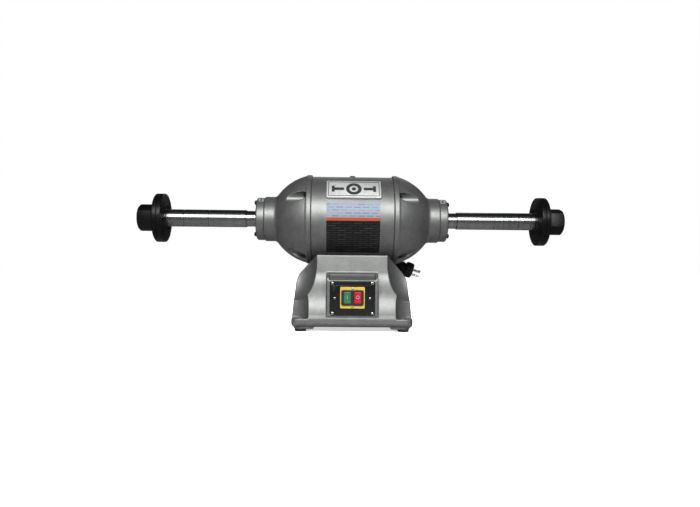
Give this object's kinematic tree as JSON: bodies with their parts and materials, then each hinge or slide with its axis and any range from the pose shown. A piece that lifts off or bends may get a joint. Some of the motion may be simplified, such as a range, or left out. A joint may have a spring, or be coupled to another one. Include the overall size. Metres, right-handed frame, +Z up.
{
  "type": "bench buffer",
  "caption": "Double-ended bench buffer: a motor on a cast pedestal with a push-button switch and long arbors with spacers, flanges and nuts.",
  "frame": {"origin": "on the bench under the middle of the machine", "axes": "+X along the arbor, -Y towards the switch at the front, +Z up"},
  "size_m": [0.8774, 0.3348, 0.3118],
  "materials": {
    "grey_paint": "satin hammered paint",
    "ground_steel": "ground",
    "black_steel": "black oxide",
    "laminations": "stacked sheet",
    "copper": "enamelled wire",
    "rubber": "matt",
    "cord_rubber": "matt",
    "plug_plastic": "matt",
    "black_plate": "satin",
    "black_plastic": "satin",
    "yellow_plastic": "satin",
    "green_plastic": "gloss",
    "red_plastic": "gloss",
    "capacitor_can": "drawn",
    "badge": "satin",
    "label": "printed film"
  },
  "bodies": {
    "frame": {"base_casting": "grey_paint", "rubber_foot_front_left": "rubber", "rubber_foot_front_right": "rubber", "rubber_foot_rear_right": "rubber", "rubber_foot_rear_left": "rubber", "bottom_cover": "black_steel", "motor_shell": "grey_paint", "shell_plug_screw": "black_steel", "end_bell_left": "grey_paint", "end_bell_right": "grey_paint", "bearing_cap_left": "grey_paint", "bearing_cap_right": "grey_paint", "cap_screw_left_1": "black_steel", "cap_screw_left_2": "black_steel", "cap_screw_left_3": "black_steel", "cap_screw_right_1": "black_steel", "cap_screw_right_2": "black_steel", "cap_screw_right_3": "black_steel", "tie_bolt_1": "black_steel", "tie_bolt_2": "black_steel", "tie_bolt_3": "black_steel", "tie_bolt_4": "black_steel", "bearing_outer_ring_left": "ground_steel", "bearing_outer_ring_right": "ground_steel", "stator_core": "laminations", "stator_winding_left": "copper", "stator_winding_right": "copper", "switch_plate": "black_plate", "switch_bezel": "yellow_plastic", "button_frame": "black_plastic", "switch_body": "black_plastic", "run_capacitor": "capacitor_can", "badge_plate": "badge", "info_label": "label", "power_cord": "cord_rubber", "power_cord_plug_end": "cord_rubber", "cord_coil": "cord_rubber", "mains_plug": "plug_plastic", "strain_relief": "cord_rubber"},
    "arbor": {"arbor_shaft": "ground_steel", "rotor_core": "laminations", "bearing_inner_ring_left": "ground_steel", "bearing_inner_ring_right": "ground_steel", "spacer_left_1": "ground_steel", "spacer_left_2": "ground_steel", "spacer_left_3": "ground_steel", "spacer_left_4": "ground_steel", "spacer_right_1": "ground_steel", "spacer_right_2": "ground_steel", "spacer_right_3": "ground_steel", "spacer_right_4": "ground_steel", "inner_flange_left": "black_steel", "inner_flange_right": "black_steel", "outer_flange_left": "black_steel", "outer_flange_right": "black_steel", "arbor_nut_left": "black_steel", "arbor_nut_right": "black_steel"},
    "start_button": {"start_button": "green_plastic"},
    "stop_button": {"stop_button": "red_plastic"}
  },
  "joints": [
    {"name": "arbor_spin", "type": "hinge", "parent": "frame", "child": "arbor", "pos_m": [0, 0, 0.22], "axis": [1, 0, 0], "continuous": true},
    {"name": "start_press", "type": "slide", "parent": "frame", "child": "start_button", "axis": [0, 1, 0], "range_m": [0, 0.003], "stiffness_N_per_m": 400},
    {"name": "stop_press", "type": "slide", "parent": "frame", "child": "stop_button", "axis": [0, 1, 0], "range_m": [0, 0.003], "stiffness_N_per_m": 400}
  ]
}
